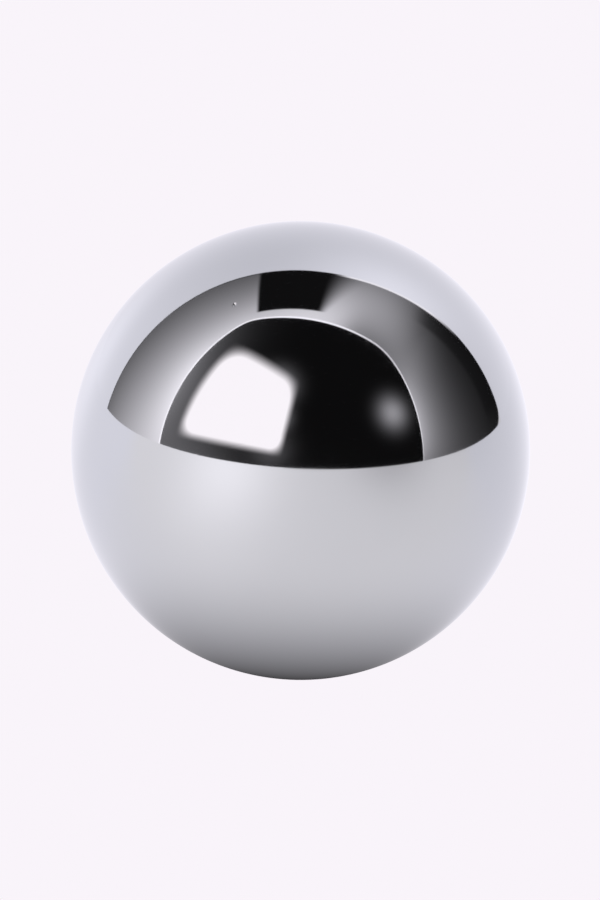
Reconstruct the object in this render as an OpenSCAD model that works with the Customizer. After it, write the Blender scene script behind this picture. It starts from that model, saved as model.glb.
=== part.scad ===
// Steel ball
//
// A plain, solid, hardened steel ball with a lapped and polished surface, as
// used loose on a desk or workbench and in catches, valves, feeders and rolling
// supports. It is one piece, with no hole, seam, flat or shell.
//
// Frame: millimetres, +Z up, with the origin at the centre of the ball.

/* [Ball] */
// Diameter of the ball
ball_d = 25.4; // [3.175:0.001:101.6]

/* [Display] */
// Sides around the equator of the displayed ball
ball_sides = 180; // [60:4:360]
// Colour of the displayed steel
steel_colour = "silver"; // [silver, gainsboro, lightslategray]

/* [Hidden] */

// The ball, solid to its centre
module steel_ball() {
    color(steel_colour)
        sphere(d = ball_d, $fn = ball_sides);
}

steel_ball();
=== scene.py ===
"""Looks of a polished steel ball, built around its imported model.

The ball stands on a seamless pale table inside a light tent: a bent diffuser sheet, open to
a dark room in front and to a bright backdrop behind. The tent is seen only in the ball.
Directions are given by azimuth, which is 0 towards the camera's side and grows towards +X,
and by elevation above the horizontal. Studio lengths are in ball radii.
"""

import logging
import math
from dataclasses import dataclass, field
from enum import Enum
from typing import Sequence

import bpy
from mathutils import Matrix, Vector


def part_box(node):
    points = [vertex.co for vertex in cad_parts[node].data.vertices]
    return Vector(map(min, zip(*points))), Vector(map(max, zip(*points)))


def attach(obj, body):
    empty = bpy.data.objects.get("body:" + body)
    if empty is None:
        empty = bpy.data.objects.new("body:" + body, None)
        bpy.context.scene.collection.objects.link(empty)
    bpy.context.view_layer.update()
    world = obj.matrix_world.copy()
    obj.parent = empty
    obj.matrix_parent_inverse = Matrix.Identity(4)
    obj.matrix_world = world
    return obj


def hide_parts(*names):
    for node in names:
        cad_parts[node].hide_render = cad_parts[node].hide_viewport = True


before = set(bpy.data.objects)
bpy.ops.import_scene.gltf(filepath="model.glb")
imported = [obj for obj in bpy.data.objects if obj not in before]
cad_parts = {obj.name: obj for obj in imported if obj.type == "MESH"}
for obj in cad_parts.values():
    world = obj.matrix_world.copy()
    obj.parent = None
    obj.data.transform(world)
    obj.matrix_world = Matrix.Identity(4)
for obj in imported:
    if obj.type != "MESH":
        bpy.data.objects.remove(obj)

LOG = logging.getLogger("steel_ball")
CAD_NODE = "steel_ball"
BODY = "root"

# The Mix node's colour sockets, by index, because its sockets share their names.
COLOUR_A, COLOUR_B, COLOUR_RESULT = 6, 7, 2

Socket = bpy.types.NodeSocket
Points = tuple[tuple[float, float], ...]


# ---------------------------------------------------------------- small helpers


def direction(azimuth: float, elevation: float) -> Vector:
    """Gives the unit vector of a direction seen from the ball.

    Args:
        azimuth: degrees, 0 towards -Y and growing towards +X.
        elevation: degrees above the horizontal.

    Returns:
        The unit vector.
    """
    turn, rise = math.radians(azimuth), math.radians(elevation)
    return Vector((math.sin(turn) * math.cos(rise), -math.cos(turn) * math.cos(rise), math.sin(rise)))


def deselect_all() -> None:
    """Clears the selection, so that the next operator acts only on what it is given."""
    if bpy.context.object and bpy.context.object.mode != "OBJECT":
        bpy.ops.object.mode_set(mode="OBJECT")
    bpy.ops.object.select_all(action="DESELECT")


def activate(obj: bpy.types.Object) -> None:
    """Makes an object the one selected and active object.

    Args:
        obj: the object.
    """
    deselect_all()
    obj.select_set(True)
    bpy.context.view_layer.objects.active = obj


def apply_modifier(obj: bpy.types.Object, kind: str, **settings: object) -> None:
    """Adds a modifier, sets it and applies it.

    Args:
        obj: the object to change.
        kind: the modifier's type, such as "CAST".
        settings: the modifier's properties.
    """
    activate(obj)
    modifier = obj.modifiers.new(kind.title(), kind)
    for name, value in settings.items():
        setattr(modifier, name, value)
    bpy.ops.object.modifier_apply(modifier=modifier.name)


@dataclass(frozen=True)
class Tone:
    """A linear colour."""

    red: float
    green: float
    blue: float

    def at(self, level: float = 1.0) -> tuple[float, float, float, float]:
        """Returns the colour times a level, with an alpha of 1."""
        return (self.red * level, self.green * level, self.blue * level, 1.0)


PAPER_WHITE = Tone(0.947, 0.905, 0.956)
SHEET_WHITE = Tone(0.938, 0.905, 0.948)
BACKDROP_WHITE = Tone(0.928, 0.905, 0.990)
LAMP_WHITE = Tone(0.966, 0.901, 0.929)


class Seen(Enum):
    """What may see a studio object."""

    BY_CAMERA = "camera"
    IN_REFLECTIONS = "reflections"


def show(obj: bpy.types.Object, seen: Seen) -> None:
    """Marks obj as part of the stage and limits what sees it.

    Args:
        obj: the studio object.
        seen: whether the camera or only the ball's reflections see it.
    """
    obj.visible_camera = seen is Seen.BY_CAMERA
    obj.visible_glossy = seen is Seen.IN_REFLECTIONS
    obj.visible_diffuse = False
    obj.visible_transmission = False
    obj.visible_volume_scatter = False
    obj.visible_shadow = False


# ---------------------------------------------------------------- shader nodes


class Bench:
    """Adds and joins nodes in one node tree."""

    def __init__(self, tree: bpy.types.NodeTree) -> None:
        """Starts work on a tree.

        Args:
            tree: a material's or a group's node tree.
        """
        self.tree = tree

    def add(self, kind: str, inputs: dict | None = None, **settings: object) -> bpy.types.Node:
        """Adds a node.

        Args:
            kind: the node's type name.
            inputs: socket name or index to a value, or to the output socket that feeds it.
            settings: the node's own properties.

        Returns:
            The new node.
        """
        node = self.tree.nodes.new(kind)
        for name, value in settings.items():
            setattr(node, name, value)
        for key, value in (inputs or {}).items():
            self.feed(node.inputs[key], value)
        return node

    def feed(self, socket: Socket, value: object) -> None:
        """Links an output socket to a socket, or sets the socket's own value."""
        if isinstance(value, Socket):
            self.tree.links.new(value, socket)
        else:
            socket.default_value = value

    def math(self, operation: str, *values: object, clamp: bool = False) -> Socket:
        """Adds a Math node.

        Args:
            operation: the node's operation.
            values: its inputs in order, as numbers or sockets.
            clamp: whether the result is kept between 0 and 1.

        Returns:
            The result's socket.
        """
        node = self.add("ShaderNodeMath", dict(enumerate(values)), operation=operation, use_clamp=clamp)
        return node.outputs[0]

    def vector(self, operation: str, *values: object) -> bpy.types.Node:
        """Adds a Vector Math node and returns it."""
        return self.add("ShaderNodeVectorMath", dict(enumerate(values)), operation=operation)

    def step(
        self,
        value: object,
        start: float,
        end: float,
        low: float = 0.0,
        high: float = 1.0,
    ) -> Socket:
        """Adds a smooth step.

        Args:
            value: what is measured.
            start: the value at which the result is low.
            end: the value at which the result is high.
            low: the result at the start.
            high: the result at the end.

        Returns:
            The result's socket.
        """
        if start > end:
            start, end, low, high = end, start, high, low
        node = self.add(
            "ShaderNodeMapRange",
            {0: value, 1: start, 2: end, 3: low, 4: high},
            interpolation_type="SMOOTHSTEP",
        )
        return node.outputs[0]

    def blend(self, share: Socket, first: Sequence[float], second: Sequence[float]) -> Socket:
        """Adds a mix of two colours.

        Args:
            share: how much of the second colour there is, from 0 to 1.
            first: the first colour, with its alpha.
            second: the second colour, with its alpha.

        Returns:
            The mixed colour's socket.
        """
        inputs = {0: share, COLOUR_A: first, COLOUR_B: second}
        return self.add("ShaderNodeMix", inputs, data_type="RGBA").outputs[COLOUR_RESULT]

    def curve(self, value: object, points: Points) -> Socket:
        """Adds a Float Curve.

        Args:
            value: what is read, from 0 to 1.
            points: the curve's points, as place and height.

        Returns:
            The result's socket.
        """
        node = self.add("ShaderNodeFloatCurve", {1: value})
        line = node.mapping.curves[0]
        at_first = len(line.points)
        for index, (place, height) in enumerate(points):
            if index < at_first:
                line.points[index].location = (place, height)
            else:
                line.points.new(place, height)
        node.mapping.use_clip = False
        node.mapping.update()
        return node.outputs[0]


@dataclass(frozen=True)
class Fade:
    """A smooth step: low up to the start, high from the end on."""

    start: float
    end: float
    low: float = 0.0
    high: float = 1.0

    def on(self, bench: Bench, value: object) -> Socket:
        """Returns the step of a value."""
        return bench.step(value, self.start, self.end, self.low, self.high)


def new_group(
    name: str,
    inputs: dict[str, tuple[str, object]],
    outputs: dict[str, str],
) -> tuple[bpy.types.NodeTree, Bench, bpy.types.Node, bpy.types.Node]:
    """Makes an empty shader node group.

    Args:
        name: the group's name.
        inputs: socket name to its type and default value.
        outputs: socket name to its type.

    Returns:
        The group, a bench for it, and its input and output nodes.
    """
    group = bpy.data.node_groups.new(name, "ShaderNodeTree")
    for label, (kind, default) in inputs.items():
        socket = group.interface.new_socket(name=label, in_out="INPUT", socket_type=kind)
        socket.default_value = default
    for label, kind in outputs.items():
        group.interface.new_socket(name=label, in_out="OUTPUT", socket_type=kind)
    bench = Bench(group)
    return group, bench, bench.add("NodeGroupInput"), bench.add("NodeGroupOutput")


def lobe_group() -> bpy.types.NodeTree:
    """Makes the group that gives a round soft spot of light around a direction.

    Returns:
        The group, with inputs Vector, Centre and Sharpness and the output Value.
    """
    name = "Soft spot"
    if name in bpy.data.node_groups:
        return bpy.data.node_groups[name]
    group, bench, inside, outside = new_group(
        name,
        {
            "Vector": ("NodeSocketVector", (0.0, 0.0, 1.0)),
            "Centre": ("NodeSocketVector", (0.0, 0.0, 1.0)),
            "Sharpness": ("NodeSocketFloat", 10.0),
        },
        {"Value": "NodeSocketFloat"},
    )
    unit = bench.vector("NORMALIZE", inside.outputs["Vector"]).outputs[0]
    cosine = bench.vector("DOT_PRODUCT", unit, inside.outputs["Centre"]).outputs["Value"]
    fall = bench.math("SUBTRACT", cosine, 1.0)
    power = bench.math("MULTIPLY", fall, inside.outputs["Sharpness"])
    bench.feed(outside.inputs["Value"], bench.math("EXPONENT", power))
    return group


@dataclass(frozen=True)
class Spot:
    """A soft spot of light around a direction, or of shade where its level is below 0."""

    azimuth: float
    elevation: float
    width: float
    level: float

    def on(self, bench: Bench, place: Socket) -> Socket:
        """Draws the spot.

        Args:
            bench: the material's bench.
            place: the Object coordinates.

        Returns:
            The spot's brightness.
        """
        node = bench.add("ShaderNodeGroup", node_tree=lobe_group())
        bench.feed(node.inputs["Vector"], place)
        node.inputs["Centre"].default_value = direction(self.azimuth, self.elevation)
        node.inputs["Sharpness"].default_value = 1.0 / (1.0 - math.cos(math.radians(self.width)))
        return bench.math("MULTIPLY", node.outputs["Value"], self.level)


def add_up(bench: Bench, base: object, parts: Sequence[Socket]) -> Socket:
    """Sums a base value and several sockets.

    Args:
        bench: the material's bench.
        base: the value to start from, as a number or a socket.
        parts: the sockets to add.

    Returns:
        The sum's socket.
    """
    total = base
    for part in parts:
        total = bench.math("ADD", total, part)
    return total


def glowing(
    name: str,
    tone: Tone,
) -> tuple[bpy.types.Material, Bench, bpy.types.Node, Socket]:
    """Makes a material that only gives light.

    Args:
        name: the material's name.
        tone: the light's colour.

    Returns:
        The material, a bench for it, its Emission node, and the Object coordinates.
    """
    material = bpy.data.materials.new(name)
    material.use_nodes = True
    material.node_tree.nodes.clear()
    material.cycles.emission_sampling = "NONE"
    bench = Bench(material.node_tree)
    light = bench.add("ShaderNodeEmission", {"Color": tone.at()})
    bench.add("ShaderNodeOutputMaterial", {"Surface": light.outputs[0]})
    place = bench.add("ShaderNodeTexCoord").outputs["Object"]
    return material, bench, light, place


@dataclass(frozen=True)
class Daylight:
    """The even light on the sheet and the backdrop, with its brighter and darker areas."""

    base: float = 1.0
    areas: tuple[Spot, ...] = (
        Spot(-35.0, 0.0, 25.0, 0.40),
        Spot(-100.0, 5.0, 50.0, 0.12),
        Spot(45.0, 15.0, 20.0, -0.40),
        Spot(95.0, 25.0, 25.0, -0.20),
        Spot(125.0, 55.0, 25.0, 0.35),
        Spot(-165.0, 52.0, 30.0, -0.15),
        Spot(-145.0, 5.0, 15.0, 0.20),
        Spot(155.0, -8.0, 20.0, 0.15),
    )

    def on(self, bench: Bench, place: Socket) -> Socket:
        """Draws the light.

        Args:
            bench: the material's bench.
            place: the Object coordinates.

        Returns:
            The light's brightness.
        """
        return add_up(bench, self.base, [area.on(bench, place) for area in self.areas])


# ---------------------------------------------------------------- the ball


@dataclass(frozen=True)
class SteelFinish:
    """Hardened bearing steel, lapped to a mirror."""

    colour: Tone = Tone(0.605, 0.620, 0.635)
    worn_shade: float = 0.985
    roughness: float = 0.035
    worn_roughness: float = 0.075
    haze_size: float = 0.0040
    haze_detail: float = 3.0
    haze_edge: Fade = Fade(0.42, 0.70)
    haze_wear: float = 0.5
    line_pitch: float = 0.00018
    line_length: float = 1.0 / 18.0
    line_detail: float = 2.0
    line_edge: Fade = Fade(0.60, 0.78)
    line_strength: float = 0.5
    line_wear: float = 0.35
    line_depth: float = 0.00000012
    line_turns: tuple[tuple[float, float, float], ...] = (
        (0.4, 0.2, 0.0),
        (1.5, 0.5, 0.9),
        (0.9, 2.2, 1.7),
        (2.3, 1.2, 0.3),
    )

    def lapping_group(self) -> bpy.types.NodeTree:
        """Makes the group that draws one family of fine, nearly parallel lapping lines.

        Returns:
            The group, with inputs Vector, Turn and Pitch and the output Lines.
        """
        group, bench, inside, outside = new_group(
            "Lapping lines",
            {
                "Vector": ("NodeSocketVector", (0.0, 0.0, 0.0)),
                "Turn": ("NodeSocketVector", (0.0, 0.0, 0.0)),
                "Pitch": ("NodeSocketFloat", self.line_pitch),
            },
            {"Lines": "NodeSocketFloat"},
        )
        turned = bench.add(
            "ShaderNodeVectorRotate",
            {0: inside.outputs["Vector"], "Rotation": inside.outputs["Turn"]},
            rotation_type="EULER_XYZ",
        )
        along = 1.0 / self.line_length
        across = bench.math("DIVIDE", 1.0, inside.outputs["Pitch"])
        stretch = bench.add("ShaderNodeCombineXYZ", {0: along, 1: along, 2: across})
        spread = bench.vector("MULTIPLY", turned.outputs[0], stretch.outputs[0]).outputs[0]
        noise = bench.add(
            "ShaderNodeTexNoise",
            {"Vector": spread, "Scale": 1.0, "Detail": self.line_detail},
        )
        bench.feed(outside.inputs["Lines"], self.line_edge.on(bench, noise.outputs[0]))
        return group

    def material(self) -> bpy.types.Material:
        """Builds the ball's material.

        Returns:
            The material.
        """
        material = bpy.data.materials.new("polished_steel")
        material.use_nodes = True
        material.node_tree.nodes.clear()
        bench = Bench(material.node_tree)
        steel = bench.add("ShaderNodeBsdfPrincipled")
        bench.add("ShaderNodeOutputMaterial", {"Surface": steel.outputs[0]})
        place = bench.add("ShaderNodeTexCoord").outputs["Object"]
        steel.inputs["Metallic"].default_value = 1.0

        group = self.lapping_group()
        families = []
        for turn in self.line_turns:
            node = bench.add("ShaderNodeGroup", node_tree=group)
            bench.feed(node.inputs["Vector"], place)
            node.inputs["Turn"].default_value = turn
            node.inputs["Pitch"].default_value = self.line_pitch
            families.append(node.outputs["Lines"])
        together = add_up(bench, families[0], families[1:])
        lines = bench.math("MULTIPLY", together, self.line_strength, clamp=True)

        haze = bench.add(
            "ShaderNodeTexNoise",
            {"Vector": place, "Scale": 1.0 / self.haze_size, "Detail": self.haze_detail},
        )
        cloud = self.haze_edge.on(bench, haze.outputs[0])
        worn = bench.math(
            "MAXIMUM",
            bench.math("MULTIPLY", lines, self.line_wear),
            bench.math("MULTIPLY", cloud, self.haze_wear),
        )
        rough = Fade(0.0, 1.0, self.roughness, self.worn_roughness)
        bench.feed(steel.inputs["Roughness"], rough.on(bench, worn))

        tint = bench.blend(worn, self.colour.at(), self.colour.at(self.worn_shade))
        bench.feed(steel.inputs["Base Color"], tint)

        groove = bench.add("ShaderNodeBump", {"Strength": 1.0, "Distance": self.line_depth}, invert=True)
        bench.feed(groove.inputs["Height"], lines)
        bench.feed(steel.inputs["Normal"], groove.outputs[0])
        return material


@dataclass(frozen=True)
class Nick:
    """The one tiny pit in the polish."""

    azimuth: float = -27.0
    elevation: float = 47.7
    half_width: float = 0.00016
    depth: float = 0.00008
    reach: float = 0.00045
    cuts: int = 11

    def centre(self) -> Vector:
        """Returns the direction of the pit from the ball's centre."""
        return direction(self.azimuth, self.elevation)

    def refine(self, ball: bpy.types.Object, radius: float) -> None:
        """Divides the faces around the pit finely.

        Args:
            ball: the ball, still a divided cube.
            radius: the ball's radius.
        """
        activate(ball)
        bpy.ops.object.mode_set(mode="EDIT")
        bpy.ops.mesh.select_all(action="DESELECT")
        bpy.ops.object.mode_set(mode="OBJECT")
        for face in ball.data.polygons:
            gap = (face.center.normalized() - self.centre()).length * radius
            face.select = gap < self.reach
        bpy.ops.object.mode_set(mode="EDIT")
        bpy.ops.mesh.select_mode(type="FACE")
        bpy.ops.mesh.subdivide(number_cuts=self.cuts)
        bpy.ops.object.mode_set(mode="OBJECT")

    def press(self, ball: bpy.types.Object, radius: float) -> list[Vector]:
        """Presses the pit into the sphere.

        Args:
            ball: the ball, already round.
            radius: the ball's radius.

        Returns:
            The surface's normal at each vertex.
        """
        normals = []
        for vertex in ball.data.vertices:
            outward = vertex.co.normalized()
            gap = (outward - self.centre()).length * radius
            if gap >= self.half_width:
                normals.append(outward)
                continue
            turn = math.pi * gap / self.half_width
            vertex.co = outward * (radius - self.depth * (1.0 + math.cos(turn)) / 2.0)
            slope = self.depth * math.pi / (2.0 * self.half_width) * math.sin(turn)
            away = (outward - self.centre() * outward.dot(self.centre())).normalized()
            normals.append((outward - away * slope).normalized())
        return normals


@dataclass
class Ball:
    """The ball: a cube's faces divided and cast onto the true sphere, so no pole shows."""

    radius: float
    finish: SteelFinish = field(default_factory=SteelFinish)
    nick: Nick = field(default_factory=Nick)
    rounds_of_division: int = 6

    def build(self) -> bpy.types.Object:
        """Returns:
            The ball.
        """
        deselect_all()
        bpy.ops.mesh.primitive_cube_add(size=2.0 * self.radius, location=(0.0, 0.0, 0.0))
        ball = bpy.context.object
        ball.name = ball.data.name = "polished_ball"
        apply_modifier(
            ball,
            "SUBSURF",
            subdivision_type="SIMPLE",
            levels=self.rounds_of_division,
            render_levels=self.rounds_of_division,
        )
        self.nick.refine(ball, self.radius)
        apply_modifier(
            ball,
            "CAST",
            cast_type="SPHERE",
            factor=1.0,
            size=self.radius,
            use_radius_as_size=False,
        )
        self.shade(ball)
        ball.data.materials.clear()
        ball.data.materials.append(self.finish.material())
        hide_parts(CAD_NODE)
        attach(ball, BODY)
        return ball

    def shade(self, ball: bpy.types.Object) -> None:
        """Presses the nick in and gives each corner the surface's own normal.

        Args:
            ball: the ball, already round.
        """
        normals = self.nick.press(ball, self.radius)
        activate(ball)
        bpy.ops.object.shade_smooth()
        ball.data.normals_split_custom_set_from_vertices(normals)


# ---------------------------------------------------------------- the studio


@dataclass(frozen=True)
class Table:
    """The pale seamless table that the camera sees."""

    ball_radius: float
    reach: float = 400.0

    def build(self) -> bpy.types.Object:
        """Builds the table top under the ball.

        Returns:
            The table top.
        """
        deselect_all()
        reach = self.reach * self.ball_radius
        bpy.ops.mesh.primitive_plane_add(size=2.0 * reach, location=(0.0, 0.0, -self.ball_radius))
        table = bpy.context.object
        table.name = "table"
        material, _, _, _ = glowing("table_white", PAPER_WHITE)
        table.data.materials.append(material)
        show(table, Seen.BY_CAMERA)
        return table


@dataclass(frozen=True)
class Sheet:
    """The white sheet under the ball, as the ball reflects it, curling up at its edge."""

    ball_radius: float
    rim_radius: float = 15.0
    rim_height: float = 1.02
    front_dip: float = 0.17
    dip_spread: float = 0.43
    flat_radius: float = 7.0
    shade_reach: float = 0.74
    cooling: Fade = Fade(-1.5, 1.2)
    weld: float = 0.0001
    rings: int = 64
    sides: int = 192

    def height(self, distance: float, azimuth: float = 180.0) -> float:
        """Gives the sheet's height at a place.

        Args:
            distance: from the sheet's middle, in ball radii.
            azimuth: degrees, 0 towards the front, where the rim dips.

        Returns:
            The height above the ball's centre, in ball radii.
        """
        share = max(0.0, distance - self.flat_radius) / (self.rim_radius - self.flat_radius)
        dip = self.front_dip * math.exp((math.cos(math.radians(azimuth)) - 1.0) / self.dip_spread)
        return -1.0 + (self.rim_height + 1.0 - dip) * share * share

    def build(self) -> bpy.types.Object:
        """Spins the sheet's profile into a shallow dish.

        Returns:
            The sheet.
        """
        unit = self.ball_radius
        deselect_all()
        mesh = bpy.data.meshes.new("sheet")
        steps = [self.rim_radius * i / self.rings for i in range(self.rings + 1)]
        points = [(s * unit, 0.0, self.height(s) * unit) for s in steps]
        mesh.from_pydata(points, [(i, i + 1) for i in range(self.rings)], [])
        sheet = bpy.data.objects.new("sheet", mesh)
        bpy.context.scene.collection.objects.link(sheet)
        activate(sheet)
        bpy.ops.object.mode_set(mode="EDIT")
        bpy.ops.mesh.select_all(action="SELECT")
        bpy.ops.mesh.spin(steps=self.sides, angle=math.tau, center=(0, 0, 0), axis=(0, 0, 1))
        bpy.ops.mesh.select_all(action="SELECT")
        bpy.ops.mesh.remove_doubles(threshold=unit * self.weld)
        bpy.ops.object.mode_set(mode="OBJECT")
        for vertex in mesh.vertices:
            distance = vertex.co.xy.length / unit
            azimuth = math.degrees(math.atan2(vertex.co.x, -vertex.co.y))
            vertex.co.z = self.height(distance, azimuth) * unit
        mesh.materials.append(self.material())
        show(sheet, Seen.IN_REFLECTIONS)
        return sheet

    def material(self) -> bpy.types.Material:
        """Builds the sheet's light, shaded by the ball around its foot and cooler at the back.

        Returns:
            The material.
        """
        material, bench, light, place = glowing("sheet_white", PAPER_WHITE)
        radii = bench.vector("SCALE", place)
        radii.inputs["Scale"].default_value = 1.0 / self.ball_radius
        flat = bench.vector("MULTIPLY", radii.outputs[0], (1.0, 1.0, 0.0)).outputs[0]
        distance = bench.vector("LENGTH", flat).outputs["Value"]
        spread = bench.math("POWER", bench.math("DIVIDE", distance, self.shade_reach), 2.0)
        shade = bench.math("EXPONENT", bench.math("MULTIPLY", spread, -1.0))
        lit = bench.math("SUBTRACT", 1.0, shade)
        level = bench.math("MULTIPLY", Daylight().on(bench, place), lit)
        bench.feed(light.inputs["Strength"], level)
        behind = bench.add("ShaderNodeSeparateXYZ", {0: radii.outputs[0]}).outputs[1]
        colour = bench.blend(self.cooling.on(bench, behind), SHEET_WHITE.at(), BACKDROP_WHITE.at())
        bench.feed(light.inputs["Color"], colour)
        return material


@dataclass(frozen=True)
class Arch:
    """One edge of the bent diffuser sheet: two side walls and a roof, rounded where they meet."""

    right: float
    right_lean: float
    left: float
    left_lean: float
    height: float
    roof_slope: float
    roundness: float

    def reach(self, angle: float) -> float:
        """Gives the distance of the edge from the tent's axis.

        Args:
            angle: radians around the axis, 0 to the right and a quarter turn straight up.

        Returns:
            The distance in ball radii.
        """
        across, up = math.cos(angle), math.sin(angle)
        walls = (
            (across - self.right_lean * up) / self.right,
            (-across - self.left_lean * up) / self.left,
            (up + self.roof_slope * across) / self.height,
        )
        return sum(max(0.0, wall) ** self.roundness for wall in walls) ** (-1.0 / self.roundness)


@dataclass(frozen=True)
class FoldShade:
    """The painted shade of a fold, which darkens the sheet's light near the back of the right wall.

    On all the tent's details, depth runs along its axis from 0 at the front to 1 at the back,
    and turn runs around the axis in half turns, from 0 at the right over the top to 1.
    """

    depth: Fade = Fade(0.70, 0.78, 0.0, 0.6)
    lower_end: Fade = Fade(0.03, 0.07)
    upper_end: Fade = Fade(0.30, 0.24)

    def mask(self, bench: Bench, turn: Socket, depth: Socket) -> Socket:
        """Returns how far the fold's painted shade darkens each place."""
        length = bench.math("MULTIPLY", self.lower_end.on(bench, turn), self.upper_end.on(bench, turn))
        return bench.math("MULTIPLY", self.depth.on(bench, depth), length)


@dataclass(frozen=True)
class Slot:
    """The dark slot across the roof, whose right end slants and blurs towards the back."""

    front: Fade = Fade(0.20, 0.235)
    left_end: Fade = Fade(0.614, 0.605)
    left_slant: float = 0.012
    right_end: float = 0.477
    right_slant: float = 0.050
    blur: float = 0.002
    blur_growth: float = 0.040

    def mask(self, bench: Bench, turn: Socket, depth: Socket) -> Socket:
        """Draws the slot.

        Args:
            bench: the material's bench.
            turn: the place around the tent.
            depth: the place along the tent.

        Returns:
            1 in the slot and 0 outside it.
        """
        right = bench.math("ADD", turn, bench.math("MULTIPLY", depth, self.right_slant))
        blur = bench.math("ADD", bench.math("MULTIPLY", depth, self.blur_growth), self.blur)
        inside_right = bench.math("DIVIDE", bench.math("SUBTRACT", right, self.right_end), blur)
        left = bench.math("ADD", turn, bench.math("MULTIPLY", depth, self.left_slant))
        ends = bench.math("MULTIPLY", bench.step(inside_right, -1.0, 1.0), self.left_end.on(bench, left))
        return bench.math("MULTIPLY", ends, self.front.on(bench, depth))


@dataclass(frozen=True)
class Hem:
    """The front hem, brighter than the sheet with a painted highlight, widest overhead and dimmer low on
    the right.
    """

    level: float = 1.7
    width: Fade = Fade(0.3, 0.6, 0.009, 0.018)
    width_overhead: float = 0.034
    overhead_power: float = 4.0
    edge: Fade = Fade(1.0, 0.6)
    strength: Fade = Fade(0.0, 0.15, 0.3, 1.0)

    def mask(self, bench: Bench, turn: Socket, depth: Socket) -> Socket:
        """Draws the hem.

        Args:
            bench: the material's bench.
            turn: the place around the tent.
            depth: the place along the tent.

        Returns:
            How strongly the hem shows at each place.
        """
        height = bench.math("SINE", bench.math("MULTIPLY", turn, math.pi))
        overhead = bench.math("POWER", height, self.overhead_power)
        extra = bench.math("MULTIPLY", overhead, self.width_overhead)
        width = bench.math("ADD", extra, self.width.on(bench, turn))
        within = self.edge.on(bench, bench.math("DIVIDE", depth, width))
        return bench.math("MULTIPLY", within, self.strength.on(bench, turn))


@dataclass(frozen=True)
class BackEdge:
    """The back edge, which catches the light up to the right and is dark to the left."""

    level: float = 1.4
    depth: Fade = Fade(0.960, 0.980)
    lower_end: Fade = Fade(0.19, 0.27)
    upper_end: Fade = Fade(0.46, 0.42)
    shade_depth: Fade = Fade(0.975, 0.99, 0.0, 0.5)
    shade_start: Fade = Fade(0.45, 0.52)

    def mask(self, bench: Bench, turn: Socket, depth: Socket) -> Socket:
        """Returns how strongly the edge catches the light."""
        length = bench.math("MULTIPLY", self.lower_end.on(bench, turn), self.upper_end.on(bench, turn))
        return bench.math("MULTIPLY", self.depth.on(bench, depth), length)

    def shade(self, bench: Bench, turn: Socket, depth: Socket) -> Socket:
        """Returns how far the edge's dark part darkens each place."""
        return bench.math("MULTIPLY", self.shade_depth.on(bench, depth), self.shade_start.on(bench, turn))


@dataclass(frozen=True)
class CutCorner:
    """The rounded-off lower corner at the back of the right wall, where the backdrop shows."""

    level: float = 0.9
    depth: float = 0.86
    depth_radius: float = 0.14
    turn: float = 0.057
    turn_radius: float = 0.035
    edge: Fade = Fade(0.9, 1.15)
    front: Fade = Fade(0.84, 0.88)

    def mask(self, bench: Bench, turn: Socket, depth: Socket) -> Socket:
        """Draws the corner.

        Args:
            bench: the material's bench.
            turn: the place around the tent.
            depth: the place along the tent.

        Returns:
            1 past the rounded corner and 0 on the wall.
        """
        past = bench.math("DIVIDE", bench.math("SUBTRACT", depth, self.depth), self.depth_radius)
        under = bench.math("DIVIDE", bench.math("SUBTRACT", self.turn, turn), self.turn_radius)
        squares = [bench.math("POWER", bench.math("MAXIMUM", gap, 0.0), 2.0) for gap in (past, under)]
        outside = self.edge.on(bench, bench.math("ADD", *squares))
        return bench.math("MULTIPLY", outside, self.front.on(bench, depth))


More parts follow.
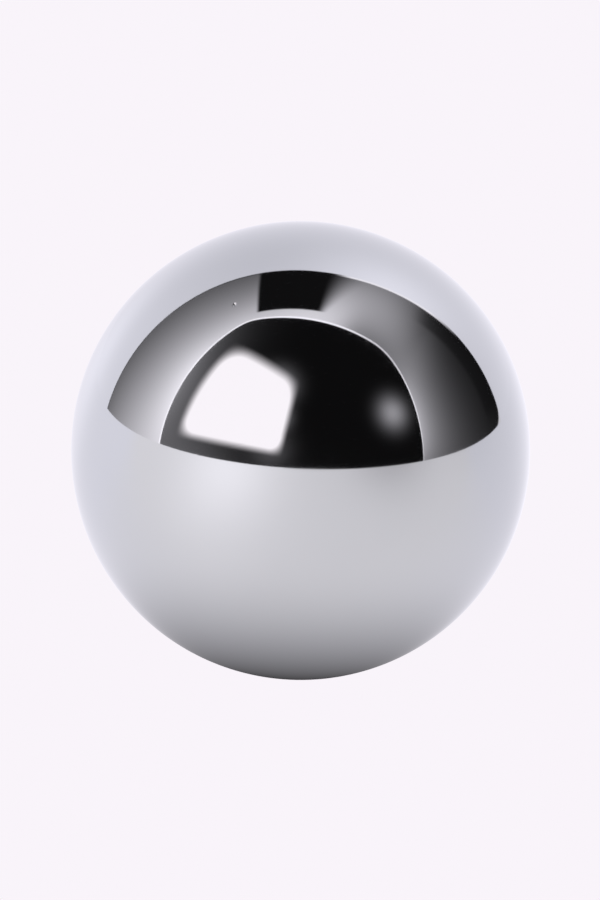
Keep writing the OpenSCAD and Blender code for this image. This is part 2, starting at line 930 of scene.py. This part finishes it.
@dataclass(frozen=True)
class Tent:
    """The bent diffuser sheet over the ball, with a dark slot in its roof."""

    ball_radius: float
    yaw: float = 2.8
    front: float = 8.5
    back: float = 14.0
    front_arch: Arch = Arch(
        right=18.0,
        right_lean=0.18,
        left=24.0,
        left_lean=0.03,
        height=46.0,
        roof_slope=0.53,
        roundness=9.0,
    )
    back_arch: Arch = Arch(
        right=20.8,
        right_lean=0.0,
        left=31.0,
        left_lean=0.0,
        height=34.6,
        roof_slope=0.0,
        roundness=2.05,
    )
    brightest: float = 2.0
    darkening: float = 6.5
    leak: float = 0.008
    front_dimming: Points = (
        (0.0, 0.30), (0.12, 0.15), (0.34, 0.30), (0.45, 0.10), (0.62, 0.11), (0.82, 0.05), (1.0, 0.08),
    )
    middle_dimming: Points = (
        (0.0, 0.45), (0.09, 0.60), (0.25, 0.27), (0.40, 0.10), (0.80, 0.22), (1.0, 0.15),
    )
    back_dimming: Points = (
        (0.0, 0.90), (0.17, 0.90), (0.25, 0.65), (0.36, 0.28), (0.60, 0.38), (1.0, 0.32),
    )
    # The painted shade of a fold in the sheet.
    fold_shade: FoldShade = FoldShade()
    slot: Slot = Slot()
    hem: Hem = Hem()
    back_edge: BackEdge = BackEdge()
    cut_corner: CutCorner = CutCorner()
    below_level: float = 5.0
    sides: int = 180
    lengths: int = 48

    def build(self) -> bpy.types.Object:
        """Bridges the front and back edges into the sheet.

        Returns:
            The tent.
        """
        points = self.edge(self.front_arch, -self.front) + self.edge(self.back_arch, self.back)
        count = self.sides + 1
        edges = [(i, i + 1) for start in (0, count) for i in range(start, start + self.sides)]
        mesh = bpy.data.meshes.new("tent")
        mesh.from_pydata(points, edges, [])
        tent = bpy.data.objects.new("tent", mesh)
        bpy.context.scene.collection.objects.link(tent)
        activate(tent)
        bpy.ops.object.mode_set(mode="EDIT")
        bpy.ops.mesh.select_all(action="SELECT")
        bpy.ops.mesh.bridge_edge_loops(number_cuts=self.lengths - 1, interpolation="LINEAR")
        bpy.ops.object.mode_set(mode="OBJECT")
        mesh.materials.append(self.material())
        show(tent, Seen.IN_REFLECTIONS)
        return tent

    def edge(self, arch: Arch, along: float) -> list[tuple[float, float, float]]:
        """Lists the points of one edge.

        Args:
            arch: the edge's outline.
            along: its place on the tent's axis, in ball radii, backwards from the ball.

        Returns:
            The points in metres.
        """
        low, high = math.radians(-self.below_level), math.radians(180.0 + self.below_level)
        back_turn = Matrix.Rotation(math.radians(-self.yaw), 3, "Z")
        points = []
        for index in range(self.sides + 1):
            angle = low + (high - low) * index / self.sides
            reach = arch.reach(angle)
            point = Vector((reach * math.cos(angle), along, reach * math.sin(angle)))
            points.append(tuple(back_turn @ point * self.ball_radius))
        return points

    def material(self) -> bpy.types.Material:
        """Builds the light that comes through the sheet.

        Returns:
            The material.
        """
        material, bench, light, place = glowing("tent_sheet", PAPER_WHITE)
        own = bench.add("ShaderNodeMapping", {"Vector": place})
        own.inputs["Rotation"].default_value = (0.0, 0.0, math.radians(self.yaw))
        own.inputs["Scale"].default_value = [1.0 / self.ball_radius] * 3
        across, along, up = bench.add("ShaderNodeSeparateXYZ", {0: own.outputs[0]}).outputs
        depth = bench.math("DIVIDE", bench.math("ADD", along, self.front), self.front + self.back)
        turn = bench.math("DIVIDE", bench.math("ARCTAN2", up, across), math.pi)
        walls = self.walls(bench, turn, depth)
        bench.feed(light.inputs["Strength"], self.with_edges(bench, turn, depth, walls))
        return material

    def walls(self, bench: Bench, turn: Socket, depth: Socket) -> Socket:
        """Draws the walls and the roof, which darken from the front to the back, the fold's painted shade
        and the slot.

        Args:
            bench: the material's bench.
            turn: the place around the axis, in half turns from the right.
            depth: the place along the axis, from 0 at the front to 1 at the back.

        Returns:
            The brightness.
        """
        rest = bench.math("SUBTRACT", 1.0, depth)
        shares = (
            bench.math("MULTIPLY", rest, rest),
            bench.math("MULTIPLY", bench.math("MULTIPLY", rest, depth), 2.0),
            bench.math("MULTIPLY", depth, depth),
        )
        parts = [
            bench.math("MULTIPLY", bench.curve(turn, points), share)
            for points, share in zip((self.front_dimming, self.middle_dimming, self.back_dimming), shares)
        ]
        dimming = bench.math("MULTIPLY", add_up(bench, parts[0], parts[1:]), -self.darkening)
        wall = bench.math("MULTIPLY", bench.math("EXPONENT", dimming), self.brightest)
        # The fold's painted shade and the dark slot both darken the sheet's light.
        for dark in (self.fold_shade, self.slot):
            kept = bench.math("SUBTRACT", 1.0, dark.mask(bench, turn, depth))
            wall = bench.math("MULTIPLY", wall, kept)
        return bench.math("ADD", wall, self.leak)

    def with_edges(self, bench: Bench, turn: Socket, depth: Socket, level: Socket) -> Socket:
        """Adds the front hem's painted highlight, the back edge and the cut-off corner.

        Args:
            bench: the material's bench.
            turn: the place around the axis, in half turns from the right.
            depth: the place along the axis, from 0 at the front to 1 at the back.
            level: the brightness between the edges.

        Returns:
            The brightness with its edges.
        """
        shade = self.back_edge.shade(bench, turn, depth)
        level = bench.math("MULTIPLY", level, bench.math("SUBTRACT", 1.0, shade))
        for bright in (self.hem, self.back_edge, self.cut_corner):
            gain = bench.math("MAXIMUM", bench.math("SUBTRACT", bright.level, level), 0.0)
            added = bench.math("MULTIPLY", gain, bright.mask(bench, turn, depth))
            level = bench.math("ADD", level, added)
        return level


@dataclass(frozen=True)
class Room:
    """The dark room in front of the tent and the lit backdrop behind it."""

    ball_radius: float
    reach: float = 150.0
    darkness: float = 0.006
    front_of_backdrop: Fade = Fade(-0.01, 0.01)
    glows: tuple[Spot, ...] = (
        Spot(-98.0, 26.0, 24.0, 0.60),
        Spot(-60.0, -10.0, 25.0, 0.18),
        Spot(-15.0, 11.0, 9.0, 0.10),
        Spot(-14.0, 27.0, 5.5, 0.50),
        Spot(-18.0, 42.0, 7.5, 0.50),
        Spot(51.0, 26.5, 6.5, 0.46),
    )
    subdivisions: int = 5

    def build(self) -> bpy.types.Object:
        """Builds the room as one large dome.

        Returns:
            The dome.
        """
        deselect_all()
        bpy.ops.mesh.primitive_ico_sphere_add(
            subdivisions=self.subdivisions,
            radius=self.reach * self.ball_radius,
        )
        room = bpy.context.object
        room.name = "room"
        room.data.materials.append(self.material())
        show(room, Seen.IN_REFLECTIONS)
        return room

    def material(self) -> bpy.types.Material:
        """Builds the room's light.

        Returns:
            The material.
        """
        material, bench, light, place = glowing("room_light", PAPER_WHITE)
        away = bench.add("ShaderNodeSeparateXYZ", {0: place}).outputs[1]
        behind = self.front_of_backdrop.on(bench, away)
        backdrop = bench.math("MULTIPLY", Daylight().on(bench, place), behind)
        glow = add_up(bench, self.darkness, [spot.on(bench, place) for spot in self.glows])
        dark = bench.math("MULTIPLY", glow, bench.math("SUBTRACT", 1.0, behind))
        bench.feed(light.inputs["Strength"], bench.math("ADD", backdrop, dark))
        bench.feed(light.inputs["Color"], bench.blend(behind, PAPER_WHITE.at(), BACKDROP_WHITE.at()))
        return material


@dataclass(frozen=True)
class Softbox:
    """The softbox in front of the tent, to the left: a four-sided light, soft at its edges.

    Its corners run from the lower left anticlockwise, in ball radii from its middle, and each
    softness belongs to the side that starts at the corner of the same place in the list.
    """

    ball_radius: float
    azimuth: float = -33.0
    elevation: float = 38.0
    distance: float = 40.0
    corners: tuple[tuple[float, float], ...] = ((-22.5, -17.5), (16.5, -18.5), (13.5, 4.2), (-10.5, 10.0))
    softness: tuple[float, ...] = (4.5, 3.5, 5.5, 5.0)
    gain: float = 2.8
    level: float = 1.62
    margin: float = 1.5

    def build(self) -> bpy.types.Object:
        """Builds the softbox's front, a little larger than its lit area.

        Returns:
            The softbox.
        """
        deselect_all()
        bpy.ops.mesh.primitive_plane_add(size=1.0)
        box = bpy.context.object
        box.name = "softbox"
        facing = direction(self.azimuth, self.elevation)
        side = Vector((0.0, 0.0, 1.0)).cross(facing).normalized()
        top = facing.cross(side)
        centre = facing * self.distance * self.ball_radius
        reach = self.margin * max(abs(place) for corner in self.corners for place in corner)
        for vertex in box.data.vertices:
            offset = (side * vertex.co.x + top * vertex.co.y) * 2.0 * reach
            vertex.co = centre + offset * self.ball_radius
        box.data.materials.append(self.material(centre, side, top))
        show(box, Seen.IN_REFLECTIONS)
        return box

    def material(self, centre: Vector, side: Vector, top: Vector) -> bpy.types.Material:
        """Builds the softbox's light, soft at its edges.

        Args:
            centre: the middle of the lit area.
            side: the direction of its width.
            top: the direction of its height.

        Returns:
            The material.
        """
        material, bench, light, place = glowing("softbox_light", LAMP_WHITE)
        offset = bench.vector("SUBTRACT", place, centre).outputs[0]
        mask = self.gain
        for index, soft in enumerate(self.softness):
            start = Vector(self.corners[index])
            along = (Vector(self.corners[(index + 1) % len(self.corners)]) - start).normalized()
            outward = Vector((along.y, -along.x))
            normal = side * outward.x + top * outward.y
            reach = bench.vector("DOT_PRODUCT", offset, normal).outputs["Value"]
            reach = bench.math("DIVIDE", reach, self.ball_radius)
            beyond = bench.math("SUBTRACT", reach, start.dot(outward))
            mask = bench.math("MULTIPLY", mask, bench.step(beyond, soft, -soft))
        mask = bench.math("MINIMUM", mask, 1.0)
        clear = bench.add("ShaderNodeBsdfTransparent")
        mix = bench.add("ShaderNodeMixShader", {0: mask, 1: clear.outputs[0], 2: light.outputs[0]})
        output = next(n for n in material.node_tree.nodes if n.type == "OUTPUT_MATERIAL")
        bench.feed(output.inputs["Surface"], mix.outputs[0])
        light.inputs["Strength"].default_value = self.level
        return material


@dataclass(frozen=True)
class Studio:
    """Everything around the ball."""

    ball_radius: float

    def build(self) -> None:
        """Builds the table, the tent and the lights."""
        for part in (Table, Sheet, Tent, Room, Softbox):
            made = part(self.ball_radius).build()
            LOG.info("studio: %s", made.name)
        self.world()
        bpy.context.scene.view_settings.view_transform = "Standard"
        bpy.context.scene.view_settings.look = "None"

    def world(self) -> None:
        """Sets a plain pale world, which reflections don't see."""
        world = bpy.data.worlds.new("pale")
        world.use_nodes = True
        world.node_tree.nodes["Background"].inputs["Color"].default_value = PAPER_WHITE.at()
        world.cycles_visibility.glossy = False
        bpy.context.scene.world = world


@dataclass(frozen=True)
class Camera:
    """A long lens, a little above the ball and not quite level."""

    ball_radius: float
    elevation: float = 11.8
    roll: float = 2.63
    distance: float = 21.81
    lens: float = 200.0
    sensor_width: float = 36.0
    sight: float = 1000.0
    aim_right: float = -0.003
    aim_up: float = 0.0022

    def build(self) -> bpy.types.Object:
        """Builds the camera and makes it the scene's camera.

        Returns:
            The camera.
        """
        data = bpy.data.cameras.new("camera")
        data.lens = self.lens
        data.sensor_width = self.sensor_width
        camera = bpy.data.objects.new("camera", data)
        bpy.context.scene.collection.objects.link(camera)
        back = direction(0.0, self.elevation)
        right = Vector((1.0, 0.0, 0.0))
        up = back.cross(right)
        turn = Matrix.Rotation(math.radians(self.roll), 3, back)
        right, up = turn @ right, turn @ up
        axes = Matrix((right, up, back)).transposed().to_4x4()
        aim = (right * self.aim_right + up * self.aim_up) * self.ball_radius
        axes.translation = aim + back * self.distance * self.ball_radius
        camera.matrix_world = axes
        data.clip_start = self.ball_radius
        data.clip_end = self.sight * self.ball_radius
        bpy.context.scene.camera = camera
        return camera


def main() -> None:
    """Builds the ball, the studio and the camera."""
    logging.basicConfig(level=logging.INFO)
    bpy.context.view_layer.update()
    low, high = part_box(CAD_NODE)
    radius = max(high[i] - low[i] for i in range(3)) / 2.0
    ball = Ball(radius).build()
    LOG.info("ball: %s, %d faces", ball.name, len(ball.data.polygons))
    Studio(radius).build()
    Camera(radius).build()


if __name__ == "__main__":
    main()
